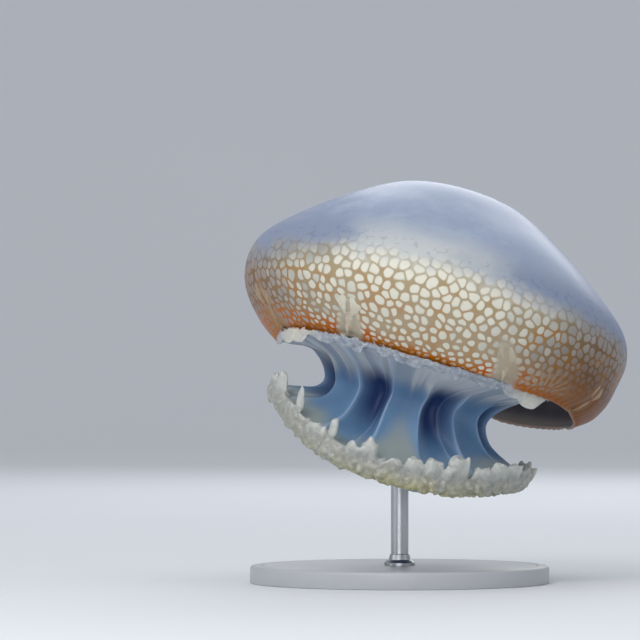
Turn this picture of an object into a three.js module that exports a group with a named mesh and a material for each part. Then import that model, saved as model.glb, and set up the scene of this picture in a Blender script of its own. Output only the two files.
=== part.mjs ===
// A life-size cannonball jellyfish, banked as it swims and held up by a plain display stand.
// The bell has its own axis, which leans right and back. The oral arms hang from it on an axis of
// their own, a little to the left and front. Angles run anticlockwise seen from above, from 0 at the
// right to -90 degrees at the front. Millimetres, +Z up, origin under the middle of the base.
import * as THREE from "three";

const degree = Math.PI / 180;
const turn = 2 * Math.PI;
const gap = 0.35; // left between neighbouring pieces
const seam = 0.3; // half of what is left between neighbours in a ring, whose end faces twist a little

// Pose
const roll = 16 * degree; // the whole animal leans to the right
const pitch = 8 * degree; // the bell's crown leans back
const bellCentre = { x: 12, y: 5, z: 90 }; // middle of the bell's opening
const armAxis = { u: -7, y: -5 }; // the arms' axis, measured from the bell's opening

// Bell
const crownOutside = [[0, 91], [27, 87.5], [50, 75.3], [71.5, 59.8], [86, 46]]; // radius and height
const marginOutside = [[90.4, 33], [87, 18], [79.5, 6.5], [71, 0]];
const bellProfile = [...crownOutside, ...marginOutside];
const marginStart = (crownOutside.length - 1) / (bellProfile.length - 1); // as a share of the profile
const roofRadius = 42; // flat middle of the bell's underside
const roofHeight = 43;
const roofEdge = [66, 31]; // where the underside turns down into the margin
const marginInside = [[69.2, 0.6], [73, 6], [76.5, 14], [75.5, 23], [66.6, 30.4]];
// The free edge hangs lowest at both sides, and is lifted elsewhere by these. The lift fades up the bell.
const rimLift = { round: 4.5, front: -2, backLeft: 9, backRight: -4 };
const rimLiftFade = 40;
const sideDroop = 12; // the higher, the shorter the drooping stretches are
const crownShift = { low: -4.3, high: -2.8, middle: 27, top: 91 }; // sideways lean of the bell, by height

// Margin
const octants = 8;
const octantStart = -3 * degree; // turns the whole ring of octants
const octantSpread = 4.5 * degree; // the sense organs stand wider apart at the front and back
const crownGap = 0.0035; // between margin and crown, as a share of the profile
const lappetsPerOctant = 6;
const lappetDepth = 1.4;

// Sense organs
const organStalk = 4.4;
const organFan = 12;
const organReach = 0.35; // share of the bell's profile that a sense organ's hood climbs
const organThickness = 1.5;
const organLift = 0.5; // between the bell's surface and a sense organ's underside

// Scapulets, the ruff of plates under the bell
const scapulets = 16;
const scapuletBelow = [[34.6, 1.4], [45.6, 1.4], [49.5, 3.4], [56, 6.6], [61, 9]];
const scapuletAbove = [[34.6, 19], [42, 17], [50, 14.6], [57, 12], [60.6, 10.4]];
const ruffRoot = 46; // the ruff's edge leans from this radius out
const ruffLean = { right: 2.5, left: 6.8, sharpness: 5 }; // the edge rises to the right, drops to the left

// Oral arms
const arms = 8;
const armOutside = [[46, 1], [40, -4.5], [38, -8.5], [39, -12.5], [42.5, -16.5], [50, -20], [58, -22.5]];
const armInside = [[30.6, 1], [26.8, -6], [26, -14], [28, -22], [36, -27.5], [47, -29.5], [57, -29]];
const armSpread = { top: 2 * degree, hem: 12 * degree }; // arms crowd away from the front towards the hem
const faceHollow = 1.6; // between an arm's two ridges
const grooveDepth = 9.5; // between neighbouring arms
const hem = { middle: -8, saddle: 8, slope: -3.8, shift: 1.5 }; // how far the hem leaves its profile
const hemSag = { depth: -4, angle: -128 * degree, sharpness: 8 };

// Manubrium, the stem under the bell that carries arms and scapulets
const coreRadius = 34;
const coreProfile = [[20, -18], [23, -14.5], [25, -8], [29.6, 1], [coreRadius, 12], [coreRadius, 19.5]];
const coreNeck = 29; // where the stem meets the bell's roof
const coreFoot = { radius: 14, height: -19 };

// Frilled hem of the arms
const frillInside = 58.2;
const frillOutside = 62.4;
const frillTop = -21.2;
const frillDepth = 9.6;
const frillBulge = 1.2;
const lobesPerArm = 4;
const lobeDepth = 1.5;
const tongue = { least: 1.4, spread: 4.2, rhythm: 2.4 }; // how far lobes stand up, from short to tall

// Stand
const base = { radius: 68, thickness: 8, chamfer: 1.5 };
const rodRadius = 4;

const materials = {
  crown: new THREE.MeshStandardMaterial({ color: 0x9aa9c8, roughness: 0.35, metalness: 0 }),
  margin: new THREE.MeshStandardMaterial({ color: 0xc99a62, roughness: 0.4, metalness: 0 }),
  organ: new THREE.MeshStandardMaterial({ color: 0xd8d4c4, roughness: 0.4, metalness: 0 }),
  scapulet: new THREE.MeshStandardMaterial({ color: 0x8d9dae, roughness: 0.4, metalness: 0 }),
  arm: new THREE.MeshStandardMaterial({ color: 0x4d6c94, roughness: 0.35, metalness: 0 }),
  core: new THREE.MeshStandardMaterial({ color: 0x25386b, roughness: 0.4, metalness: 0 }),
  frill: new THREE.MeshStandardMaterial({ color: 0xb5b6a4, roughness: 0.5, metalness: 0 }),
  base: new THREE.MeshStandardMaterial({ color: 0xb9bcc0, roughness: 0.5, metalness: 0.2 }),
  rod: new THREE.MeshStandardMaterial({ color: 0xc2c5c9, roughness: 0.3, metalness: 1 }),
};

const group = new THREE.Group();

function add(name, geometry, material) {
  const mesh = new THREE.Mesh(geometry, material);
  mesh.name = name;
  group.add(mesh);
}

const mix = THREE.MathUtils.lerp;
const smooth = THREE.MathUtils.smoothstep;

function curveOf(points) {
  return new THREE.SplineCurve(points.map(([r, z]) => new THREE.Vector2(r, z)));
}

// ---- frames: where a point of each body part lies

// From the rolled frame (u to the right, y back, v up the body) to the part's frame.
function bank(u, y, v) {
  return new THREE.Vector3(
    bellCentre.x + u * Math.cos(roll) + v * Math.sin(roll),
    bellCentre.y + y,
    bellCentre.z - u * Math.sin(roll) + v * Math.cos(roll),
  );
}

// A swelling round the circle: 1 at its middle and 0 a quarter turn away.
function lobeAt(angle, middle, sharpness) {
  return Math.max(0, Math.cos(angle - middle)) ** sharpness;
}

// How far the free edge is lifted at an angle.
function liftAt(angle) {
  const backLeft = rimLift.backLeft * lobeAt(angle, 135 * degree, 2);
  const backRight = rimLift.backRight * lobeAt(angle, 45 * degree, 2);
  const front = rimLift.front * lobeAt(angle, -90 * degree, 3);
  return (rimLift.round + backLeft + backRight) * (1 - Math.cos(angle) ** sideDroop) + front;
}

function crownLean(z) {
  const low = crownShift.low * smooth(z, 0, crownShift.middle);
  return low + crownShift.high * smooth(z, crownShift.middle, crownShift.top);
}

// A point given by its angle, radius and height about the bell's own axis.
function onBell(angle, radius, height) {
  const lift = liftAt(angle) * (1 - smooth(height, 0, rimLiftFade));
  const x = radius * Math.cos(angle) + crownLean(height);
  const y = radius * Math.sin(angle);
  const z = height + lift;
  return bank(x, y * Math.cos(pitch) + z * Math.sin(pitch), z * Math.cos(pitch) - y * Math.sin(pitch));
}

// The same about the arms' axis, which has the roll but not the pitch.
function onArms(angle, radius, height) {
  const shift = hem.shift * smooth(-height, 10, 30);
  return bank(armAxis.u + shift + radius * Math.cos(angle), armAxis.y + radius * Math.sin(angle), height);
}

// How far the ruff's edge is lifted at an angle.
function ruffLift(angle) {
  const across = Math.cos(angle);
  const most = across > 0 ? ruffLean.right : ruffLean.left;
  return most * across * Math.abs(across) ** ruffLean.sharpness;
}

// Height of the bell's flat roof above the rolled frame, at depth y.
function roofAt(y) {
  return (roofHeight - y * Math.sin(pitch)) / Math.cos(pitch);
}

// How far the hem hangs below its profile at an angle.
function hemDrop(angle) {
  const sag = hemSag.depth * lobeAt(angle, hemSag.angle, hemSag.sharpness);
  return hem.middle + hem.saddle * Math.cos(2 * angle) + hem.slope * Math.cos(angle) + sag;
}

// Arms keep off the front: an angle counted from the front, spread towards the sides.
function spreadFromFront(angle, share) {
  const fromFront = angle + turn / 4;
  return angle + mix(armSpread.top, armSpread.hem, share) * Math.sin(fromFront);
}

// ---- solids

// A box of nu x nv x nw cells, each of its points put where place(u, v, w) says, all three 0 to 1.
function shapedBox(nu, nv, nw, place) {
  const box = new THREE.BoxGeometry(1, 1, 1, nu, nv, nw);
  const at = box.getAttribute("position");
  for (let i = 0; i < at.count; i++) {
    const p = place(at.getX(i) + 0.5, at.getY(i) + 0.5, at.getZ(i) + 0.5);
    at.setXYZ(i, p.x, p.y, p.z);
  }
  return box;
}

// A turned solid whose points are put where place(angle, radius, height) says.
function turned(profile, segments, place) {
  const lathe = new THREE.LatheGeometry(profile.map(([r, z]) => new THREE.Vector2(r, z)), segments);
  const at = lathe.getAttribute("position");
  for (let i = 0; i < at.count; i++) {
    const radius = Math.hypot(at.getX(i), at.getZ(i));
    const angle = radius > 0 ? Math.atan2(-at.getZ(i), at.getX(i)) : 0;
    const p = place(angle, radius, at.getY(i));
    at.setXYZ(i, p.x, p.y, p.z);
  }
  return lathe;
}

function bellCrown() {
  const outline = curveOf(bellProfile);
  const steps = 10;
  const profile = [[0, roofHeight], [roofRadius, roofHeight], roofEdge];
  for (let i = 0; i <= steps; i++) {
    const p = outline.getPoint(marginStart * (1 - i / steps));
    profile.push([i === steps ? 0 : p.x, p.y]);
  }
  return turned(profile, 48, onBell);
}

// Angle of a sense organ, which stands at each end of an octant.
function organAngle(k) {
  const fromFront = octantStart + ((k + 0.5) * turn) / octants;
  return fromFront + octantSpread * Math.sin(2 * fromFront) - turn / 4;
}

function marginOctant(k) {
  const outline = curveOf(bellProfile);
  const inside = curveOf(marginInside);
  return shapedBox(2 * lappetsPerOctant, 5, 1, (u, v, w) => {
    const outer = outline.getPoint(mix(1, marginStart + crownGap, v));
    const inner = inside.getPoint(v);
    const radius = mix(inner.x, outer.x, w);
    const trim = seam / radius;
    const angle = mix(organAngle(k) + trim, organAngle(k + 1) - trim, u);
    const lappet = Math.abs(Math.sin(Math.PI * lappetsPerOctant * u));
    const scallop = lappetDepth * (1 - lappet) * (1 - smooth(v, 0, 0.3));
    const under = v > 0.99 ? gap : 0;
    return onBell(angle, radius, mix(inner.y, outer.y, w) + scallop - under * (1 - w));
  });
}

function senseOrgan(k) {
  const outline = curveOf(bellProfile);
  return shapedBox(2, 6, 1, (u, v, w) => {
    const along = mix(0.985, 1 - organReach, v);
    const at = outline.getPoint(along);
    const slope = outline.getTangent(along);
    const width = mix(organStalk, organFan, smooth(v, 0.3, 0.75)) * (1 - 0.55 * smooth(v, 0.75, 1));
    const crest = organThickness * (1 - 0.6 * Math.abs(2 * u - 1)) * (1 - 0.5 * smooth(v, 0.6, 1));
    const lift = organLift + w * crest;
    const angle = organAngle(k) + ((u - 0.5) * width) / at.x;
    return onBell(angle, at.x - slope.y * lift, at.y + slope.x * lift);
  });
}

function scapulet(k) {
  const below = curveOf(scapuletBelow);
  const above = curveOf(scapuletAbove);
  const width = turn / scapulets;
  return shapedBox(3, 5, 1, (u, v, w) => {
    const lower = below.getPoint(1 - v);
    const upper = above.getPoint(1 - v);
    const radius = mix(upper.x, lower.x, 1 - w);
    const trim = seam / radius;
    const lobe = 1 + 0.03 * Math.sin(Math.PI * u) * (1 - v) - 0.02 * (1 - v);
    const angle = (k - 0.5) * width + mix(trim, width - trim, u);
    const share = smooth(radius, ruffRoot, scapuletBelow.at(-1)[0]);
    return onArms(angle, radius * lobe, mix(lower.y, upper.y, w) + ruffLift(angle) * share);
  });
}

function oralArm(k) {
  const outside = curveOf(armOutside);
  const inside = curveOf(armInside);
  const eighth = turn / arms;
  return shapedBox(4, 9, 1, (u, v, w) => {
    const along = 1 - v;
    const outer = outside.getPoint(along);
    const inner = inside.getPoint(along);
    const across = 2 * u - 1; // the ridges stand at -0.5 and 0.5, the grooves at -1 and 1
    const fade = 1 - smooth(along, 0.55, 1);
    const groove = Math.abs(across) > 0.75 ? grooveDepth * smooth(along, 0, 0.25) : 0;
    const hollow = Math.abs(across) < 0.25 ? faceHollow : 0;
    const radius = mix(inner.x, outer.x - (groove + hollow) * fade, w);
    const trim = seam / radius;
    const angle = spreadFromFront((k * turn) / arms - turn / 4 + across * (eighth / 2 - trim), along);
    const drop = hemDrop(angle) * smooth(along, 0.3, 1);
    return onArms(angle, radius, mix(inner.y, outer.y, w) + drop);
  });
}

function manubrium() {
  const foot = [[0, coreFoot.height], [coreFoot.radius, coreFoot.height]];
  const profile = [...foot, ...coreProfile, [coreNeck, roofHeight], [0, roofHeight]];
  return turned(profile, 32, (angle, radius, height) => {
    const roof = roofAt(armAxis.y + radius * Math.sin(angle)) - gap;
    return onArms(angle, radius, height === roofHeight ? roof : height);
  });
}

function frillSector(k) {
  const eighth = turn / arms;
  return shapedBox(3 * lobesPerArm, 3, 1, (u, v, w) => {
    const radiusAt = mix(frillInside, frillOutside, w);
    const trim = seam / radiusAt;
    const straight = (k - 0.5) * eighth - turn / 4 + mix(trim, eighth - trim, u);
    const angle = spreadFromFront(straight, 1);
    const lobe = Math.abs(Math.sin(Math.PI * lobesPerArm * u));
    const number = k * lobesPerArm + Math.floor(Math.min(u, 0.999) * lobesPerArm);
    const height = tongue.least + tongue.spread * Math.sin(tongue.rhythm * number) ** 2;
    const belly = frillBulge * Math.sin(Math.PI * v);
    const radius = radiusAt + w * (lobeDepth * lobe + belly);
    const top = frillTop + height * lobe;
    const foot = frillTop - frillDepth - 0.5 * lobeDepth * lobe;
    return onArms(angle, radius, mix(foot, top, v) + hemDrop(angle));
  });
}

function standRod() {
  const rod = new THREE.CylinderGeometry(rodRadius, rodRadius, 1, 24);
  const foot = bank(armAxis.u, armAxis.y, coreFoot.height);
  const at = rod.getAttribute("position");
  for (let i = 0; i < at.count; i++) {
    const x = at.getX(i);
    const top = foot.z - gap - x * Math.tan(roll);
    const z = at.getY(i) > 0 ? top : base.thickness + gap;
    at.setXYZ(i, foot.x + x, foot.y - at.getZ(i), z);
  }
  return rod;
}

function standBase() {
  const { radius, thickness, chamfer } = base;
  const side = [[radius, 0], [radius, thickness - chamfer], [radius - chamfer, thickness]];
  const profile = [[0, 0], ...side, [0, thickness]];
  return turned(profile, 64, (angle, r, z) => new THREE.Vector3(r * Math.cos(angle), r * Math.sin(angle), z));
}

add("bell_crown", bellCrown(), materials.crown);
for (let k = 0; k < octants; k++) {
  add(`bell_margin_${k + 1}`, marginOctant(k), materials.margin);
  add(`rhopalium_${k + 1}`, senseOrgan(k), materials.organ);
}
for (let k = 0; k < scapulets; k++) add(`scapulet_${k + 1}`, scapulet(k), materials.scapulet);
add("manubrium", manubrium(), materials.core);
for (let k = 0; k < arms; k++) {
  add(`oral_arm_${k + 1}`, oralArm(k), materials.arm);
  add(`arm_frill_${k + 1}`, frillSector(k), materials.frill);
}
add("stand_rod", standRod(), materials.rod);
add("stand_base", standBase(), materials.base);

export default group;
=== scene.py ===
import functools
import math
import random
import bmesh
import bpy
from mathutils import Euler, Matrix, Vector, noise


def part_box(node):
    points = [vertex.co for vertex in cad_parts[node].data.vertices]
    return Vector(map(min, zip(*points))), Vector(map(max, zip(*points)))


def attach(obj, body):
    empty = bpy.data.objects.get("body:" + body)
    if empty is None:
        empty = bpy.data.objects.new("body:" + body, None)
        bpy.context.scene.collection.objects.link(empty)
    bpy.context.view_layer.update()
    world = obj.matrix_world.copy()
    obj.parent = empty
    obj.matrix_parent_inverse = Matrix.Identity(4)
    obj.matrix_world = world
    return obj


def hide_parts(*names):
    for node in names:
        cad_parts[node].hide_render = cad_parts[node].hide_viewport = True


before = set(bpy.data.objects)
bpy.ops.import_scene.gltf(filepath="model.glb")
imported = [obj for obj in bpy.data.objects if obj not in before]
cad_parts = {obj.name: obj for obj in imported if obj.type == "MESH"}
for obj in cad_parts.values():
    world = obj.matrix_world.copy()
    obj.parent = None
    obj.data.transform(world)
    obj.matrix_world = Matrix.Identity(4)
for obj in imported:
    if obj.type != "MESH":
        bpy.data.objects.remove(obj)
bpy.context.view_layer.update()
print("frame loaded,", len(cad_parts), "nodes")

# Lengths in the settings are millimetres; bank() turns them to metres. Angles run anticlockwise seen
# from above, from 0 at the right to a quarter turn back at the front.
millimetre = 0.001
turn = 2 * math.pi
front = -turn / 4


def mix(a, b, share):
    return a + (b - a) * share


def smooth(value, low, high):
    t = min(1.0, max(0.0, (value - low) / (high - low)))
    return t * t * (3 - 2 * t)


def hump(value, middle, width):
    return math.exp(-(((value - middle) / width) ** 2))


def tint(red, green, blue):
    # Screen values, 0 to 255, made linear.
    return tuple((value / 255) ** 2.2 for value in (red, green, blue))


def curvePoint(points, place):
    # A smooth curve through the points. place counts them from 0.
    k = min(int(place), len(points) - 2)
    w = place - k
    p0, p1, p2, p3 = (Vector(points[min(max(k + j, 0), len(points) - 1)]) for j in (-1, 0, 1, 2))
    v0, v1 = (p2 - p0) / 2, (p3 - p1) / 2
    return (2 * (p1 - p2) + v0 + v1) * w**3 + (3 * (p2 - p1) - 2 * v0 - v1) * w**2 + v0 * w + p1


# The pose, with the same frames as the solids.
pose = {
    "roll": math.radians(16),
    "pitch": math.radians(8),
    "bellCentre": (12, 5, 90),
    "armAxis": (-7, -5),
    "crownShift": (-4.3, -2.8, 27, 91),
    "rimRound": 4.5,
    "rimFront": -2,
    "rimBackLeft": 9,
    "rimBackRight": -4,
    "rimLiftFade": 40,
    "sideDroop": 12,
    "armSpread": (math.radians(2), math.radians(12)),
    "hemMiddle": -8,
    "hemSaddle": 8,
    "hemSlope": -3.8,
    "hemShift": 1.5,
    "hemSag": (-4, math.radians(-128), 8),
}


def lobeAt(angle, middle, sharpness):
    return max(0.0, math.cos(angle - middle)) ** sharpness


def bank(u, y, v):
    cosRoll, sinRoll = math.cos(pose["roll"]), math.sin(pose["roll"])
    x0, y0, z0 = pose["bellCentre"]
    return Vector((x0 + u * cosRoll + v * sinRoll, y0 + y, z0 - u * sinRoll + v * cosRoll)) * millimetre


def unbank(point):
    cosRoll, sinRoll = math.cos(pose["roll"]), math.sin(pose["roll"])
    x, y, z = (a / millimetre - b for a, b in zip(point, pose["bellCentre"]))
    return x * cosRoll - z * sinRoll, y, x * sinRoll + z * cosRoll


def liftAt(angle):
    sides = pose["rimRound"] + pose["rimBackLeft"] * lobeAt(angle, math.radians(135), 2)
    sides += pose["rimBackRight"] * lobeAt(angle, math.radians(45), 2)
    return sides * (1 - math.cos(angle) ** pose["sideDroop"]) + pose["rimFront"] * lobeAt(angle, front, 3)


def bellToRolled(angle, radius, height):
    low, high, middle, top = pose["crownShift"]
    lean = low * smooth(height, 0, middle) + high * smooth(height, middle, top)
    lift = liftAt(angle) * (1 - smooth(height, 0, pose["rimLiftFade"]))
    x, y, z = radius * math.cos(angle) + lean, radius * math.sin(angle), height + lift
    cosPitch, sinPitch = math.cos(pose["pitch"]), math.sin(pose["pitch"])
    return x, y * cosPitch + z * sinPitch, z * cosPitch - y * sinPitch


def onBell(angle, radius, height):
    return bank(*bellToRolled(angle, radius, height))


def armShift(height):
    return pose["armAxis"][0] + pose["hemShift"] * smooth(-height, 10, 30)


def onArms(angle, radius, height):
    y = pose["armAxis"][1] + radius * math.sin(angle)
    return bank(armShift(height) + radius * math.cos(angle), y, height)


def aroundArms(point):
    # Angle about the arms' axis and height, from a place in metres.
    u, y, v = unbank(point)
    return math.atan2(y - pose["armAxis"][1], u - armShift(v)), v


def hemDrop(angle):
    depth, middle, sharpness = pose["hemSag"]
    sag = depth * lobeAt(angle, middle, sharpness)
    saddle = pose["hemSaddle"] * math.cos(2 * angle)
    return pose["hemMiddle"] + saddle + pose["hemSlope"] * math.cos(angle) + sag


def spreadFromFront(angle, share):
    return angle + mix(*pose["armSpread"], share) * math.sin(angle - front)


def mathsWith(operation, turned=False):
    # A method that adds a Math node on the wire and another value, the other first where it is turned.
    def method(self, other):
        return self.maths(operation, *((other, self) if turned else (self, other)))

    return method


class Wire:
    # An output socket. Sums, products and the like add Math nodes to its material.
    def __init__(self, tree, socket):
        self.tree = tree
        self.socket = socket

    def maths(self, operation, *values):
        return self.tree.node("ShaderNodeMath", {"operation": operation}, dict(enumerate(values)))

    __add__, __radd__ = mathsWith("ADD"), mathsWith("ADD", turned=True)
    __sub__, __rsub__ = mathsWith("SUBTRACT"), mathsWith("SUBTRACT", turned=True)
    __mul__, __rmul__ = mathsWith("MULTIPLY"), mathsWith("MULTIPLY", turned=True)
    __mod__, __lt__ = mathsWith("FLOORED_MODULO"), mathsWith("LESS_THAN")
    least, most = mathsWith("MINIMUM"), mathsWith("MAXIMUM")

    def floor(self):
        return self.maths("FLOOR", self)

    def rise(self, low, high):
        # 0 at low and 1 at high, smooth between them. Low may be the larger.
        settings = {"interpolation_type": "SMOOTHSTEP"}
        return self.tree.node("ShaderNodeMapRange", settings, {0: self, 1: low, 2: high, 3: 0, 4: 1})


class Tree:
    # A material and the ways to add to it.
    def __init__(self, name):
        self.material = bpy.data.materials.new(name)
        self.material.use_nodes = True
        self.material.node_tree.nodes.clear()

    def node(self, kind, settings, values, output=0):
        made = self.material.node_tree.nodes.new(kind)
        for key, value in settings.items():
            setattr(made, key, value)
        for key, value in values.items():
            if isinstance(value, Wire):
                self.material.node_tree.links.new(value.socket, made.inputs[key])
            else:
                made.inputs[key].default_value = value
        return Wire(self, made.outputs[output])

    def place(self):
        return self.node("ShaderNodeTexCoord", {}, {}, "Object")

    def mark(self, name):
        return self.node("ShaderNodeAttribute", {"attribute_name": name}, {}, "Fac")

    def noise(self, scale, detail, rough=0.5, place=None):
        values = {"Vector": place or self.place(), "Scale": scale, "Detail": detail, "Roughness": rough}
        return self.node("ShaderNodeTexNoise", {}, values)

    def blend(self, share, first, second):
        # Mixes two colours, each a wire or red, green and blue.
        first, second = (c if isinstance(c, Wire) else (*c, 1) for c in (first, second))
        return self.node("ShaderNodeMix", {"data_type": "RGBA"}, {0: share, 6: first, 7: second}, 2)

    def vector(self, operation, *values, output=0):
        return self.node("ShaderNodeVectorMath", {"operation": operation}, dict(enumerate(values)), output)

    def join(self, x, y):
        return self.node("ShaderNodeCombineXYZ", {}, {0: x, 1: y})

    def part(self, vector, axis):
        return self.node("ShaderNodeSeparateXYZ", {}, {0: vector}, axis)

    def finish(self, colour, roughness, height, bumpDepth, skin):
        # skin has the shader's own numbers, the same all over. bumpDepth is in millimetres.
        bump = {"Height": height, "Strength": 1, "Distance": bumpDepth * millimetre}
        values = {"Base Color": colour, "Roughness": roughness, **skin}
        values["Normal"] = self.node("ShaderNodeBump", {}, bump)
        surface = self.node("ShaderNodeBsdfPrincipled", {}, values)
        output = self.material.node_tree.nodes.new("ShaderNodeOutputMaterial")
        self.material.node_tree.links.new(surface.socket, output.inputs["Surface"])
        return self.material


def spunLine(points, angle, steps, merge=True):
    # A chain of edges through points of radius and height, spun about the upright axis.
    mesh = bmesh.new()
    tip = bmesh.ops.create_vert(mesh, co=(points[0][0], 0, points[0][1]))["vert"]
    for (r0, z0), (r1, z1) in zip(points, points[1:]):
        tip = bmesh.ops.extrude_vert_indiv(mesh, verts=tip)["verts"]
        bmesh.ops.translate(mesh, verts=tip, vec=(r1 - r0, 0, z1 - z0))
    whole = mesh.verts[:] + mesh.edges[:]
    bmesh.ops.spin(mesh, geom=whole, axis=(0, 0, 1), angle=angle, steps=steps, use_merge=merge)
    return mesh


def discOfRings(rings, steps, sectors=16):
    # A flat disc of rings one apart: a sector is spun and then copied round.
    mesh = spunLine([(ring, 0) for ring in range(rings + 1)], turn / sectors, steps // sectors, merge=False)
    sector = mesh.verts[:] + mesh.edges[:] + mesh.faces[:]
    for k in range(1, sectors):
        copy = bmesh.ops.duplicate(mesh, geom=sector)["geom"]
        points = [item for item in copy if isinstance(item, bmesh.types.BMVert)]
        bmesh.ops.rotate(mesh, verts=points, matrix=Matrix.Rotation(k * turn / sectors, 3, "Z"))
    bmesh.ops.remove_doubles(mesh, verts=mesh.verts, dist=0.0005)
    return mesh


def ringSkin(rings, steps, marks, place):
    # A disc whose points place(ring, angle) puts in the part's frame, with their marks. The first and
    # the last ring each close to one point.
    mesh = discOfRings(rings, steps)
    layers = [mesh.verts.layers.float.new(name) for name in marks]
    for point in mesh.verts:
        ring = round(math.hypot(point.co.x, point.co.y))
        point.co, values = place(ring, math.atan2(point.co.y, point.co.x))
        for layer, value in zip(layers, values):
            point[layer] = value
    return mesh


def closeSkin(mesh):
    bmesh.ops.remove_doubles(mesh, verts=mesh.verts, dist=0.0001 * millimetre)
    bmesh.ops.recalc_face_normals(mesh, faces=mesh.faces)


def addObject(name, mesh, *materials):
    data = bpy.data.meshes.new(name)
    for face in mesh.faces:
        face.smooth = True
    mesh.to_mesh(data)
    mesh.free()
    for material in materials:
        data.materials.append(material)
    made = bpy.data.objects.new(name, data)
    bpy.context.scene.collection.objects.link(made)
    return made


def addPiece(name, mesh, material, nodes=()):
    piece = addObject(name, mesh, material)
    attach(piece, "root")
    if nodes:
        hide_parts(*nodes)
    print(name, "has", len(piece.data.polygons), "faces")
    return piece


def numbered(name, count):
    return [f"{name}_{k + 1}" for k in range(count)]


bell = {
    "outside": [(-27, 87.5), (0, 91), (27, 87.5), (50, 75.3), (71.5, 59.8), (86, 46)],
    "margin": [(90.4, 33), (87, 18), (79.5, 6.5), (71, 0)],
    "edge": [(70.9, 0), (70.3, -0.3), (69.6, -0.1), (69.2, 0.6)],
    "inside": [(69.2, 0.6), (73, 6), (76.5, 14), (75.5, 23), (66.6, 30.4)],
    "roof": [(66, 31), (42, 42.6), (20, 43), (0, 43)],
    "rings": {"crown": 46, "margin": 48, "edge": 3, "inside": 17, "roof": 13},
    "steps": 768,
    "depth": 0.53,  # of the skin's surface inside the solids
    "lappets": 12,  # to an octant
    "lappetDepth": 0.5,
    "lappetTop": 4,  # how far from the free edge they shape the skin
    "furrowDepth": 0.22,
    "furrowTop": 15,  # how far the furrows between lappets climb
    "wave": (0.24, 35, 91, 60),  # depth, length, and the heights where waves end and are full
    "folds": (10, 0.5),  # radial folds under the bell: how many to an octant, and how deep
    "octants": 8,
    "octantStart": math.radians(-3),
    "octantSpread": math.radians(4.5),
    # the margin hangs a little lower beside the front: how far, where, how locally and up to what height
    "frontDrop": (2.2, math.radians(-72), 5, 26),
    # the hollow round a sense organ: its width, how that changes upwards, its soft sides in widths, the
    # height where it fades and ends, its depth, and the notch in the free edge under it
    "niche": {"width": 6.2, "foot": 1.15, "taper": 0.6, "sides": (0.55, 1.25), "fade": 17, "top": 26,
              "depth": 0.6, "notch": 0.8},
    "flush": ((9.5, 3.6), (2.5, 6)),  # redder flesh beside an organ: its middle and width, sideways and up
    # the sense organs that stand askew: sideways shift, slant and the height both are measured at
    "organSlant": {7: (-3.5, 0.22, 13), 0: (0.5, -0.34, 13)},
    "marks": ["rise", "inner", "organ", "flush", "paintedLight", "pleat"],
    "paintedLightSide": (math.radians(-99), 5),  # where the painted light on the flesh is strongest, and how narrowly
    # a fan of pale pleats in the margin: its angle, the height of its root, its reach, its width and
    # its stripes
    "fan": (math.radians(-48), 1.5, 10, 6.5, 20),
}


def organAngle(k):
    fromFront = bell["octantStart"] + (k + 0.5) * turn / bell["octants"]
    return fromFront + bell["octantSpread"] * math.sin(2 * fromFront) + front


spareOrgans = 3  # repeated at both ends, so that every angle lies between two
organAngles = [organAngle(k) for k in range(-spareOrgans, bell["octants"] + spareOrgans + 1)]


@functools.cache
def octantShare(angle):
    # How far round its octant an angle is, from 0 at one sense organ to 1 at the next, how far past the
    # nearer of them it is, and that one's number.
    low = max(a for a in organAngles if a <= angle)
    high = min(a for a in organAngles if a > angle)
    nearer = low if angle - low < high - angle else high
    number = (organAngles.index(nearer) - spareOrgans) % bell["octants"]
    return (angle - low) / (high - low), angle - nearer, number


def organShift(k, rise):
    # How far the organ's middle line is off its own angle at a height above the free edge.
    shift, slant, level = bell["organSlant"].get(k, (0, 0, 0))
    return shift + slant * (rise - level)


def bellOutline():
    # Rows of radius, height and a unit vector out of the surface, from the apex to the roof's middle.
    outline = bell["outside"] + bell["margin"]
    seam = len(bell["outside"]) - 1
    rings = bell["rings"]
    rows = [curvePoint(outline, mix(1, seam, i / rings["crown"])) for i in range(rings["crown"])]
    last = len(outline) - 1
    rows += [curvePoint(outline, mix(seam, last, i / rings["margin"])) for i in range(rings["margin"])]
    for part in ("edge", "inside", "roof"):
        points = bell[part]
        rows += [curvePoint(points, (len(points) - 1) * i / rings[part]) for i in range(rings[part])]
    rows.append(Vector(bell["roof"][-1]))
    outwards = []
    for i, row in enumerate(rows):
        along = rows[min(i + 1, len(rows) - 1)] - rows[max(i - 1, 0)]
        outwards.append(Vector((-along.y, along.x)).normalized() if 0 < i < len(rows) - 1 else Vector((0, 0)))
    return rows, outwards


bellRows, bellOutwards = bellOutline()
edgeRing = bell["rings"]["crown"] + bell["rings"]["margin"]
bellRise = [0.0] * len(bellRows)  # length of surface from the free edge up to each row, less than 0 inside
for i in range(edgeRing - 1, -1, -1):
    bellRise[i] = bellRise[i + 1] + (bellRows[i] - bellRows[i + 1]).length
for i in range(edgeRing + 1, len(bellRows)):
    bellRise[i] = bellRise[i - 1] - (bellRows[i] - bellRows[i - 1]).length
print("bell is", round(bellRise[0]), "mm from apex to edge")


# How much painted light falls on the flesh at an angle: most at the front, painted shade on the flanks.
def paintedLightAt(angle):
    middle, sharpness = bell["paintedLightSide"]
    return (0.5 + 0.5 * math.cos(angle - middle)) ** sharpness


def frontFall(angle, rise):
    # How much lower the margin hangs at an angle and a height above its free edge.
    drop, middle, sharpness, top = bell["frontDrop"]
    return drop * lobeAt(angle, middle, sharpness) * (1 - smooth(abs(rise), 0, top))


def fanAt(angle, radius, rise):
    # 1 on a pleat of the fan, and 0 between its pleats and away from it.
    middle, root, reach, width, stripes = bell["fan"]
    x, y = math.remainder(angle - middle, turn) * radius, rise - root
    pleat = hump(math.hypot(x, y), reach, width) * (0.5 + 0.5 * math.cos(stripes * math.atan2(x, y))) ** 1.5
    return pleat * smooth(y, -1, 5)


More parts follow.
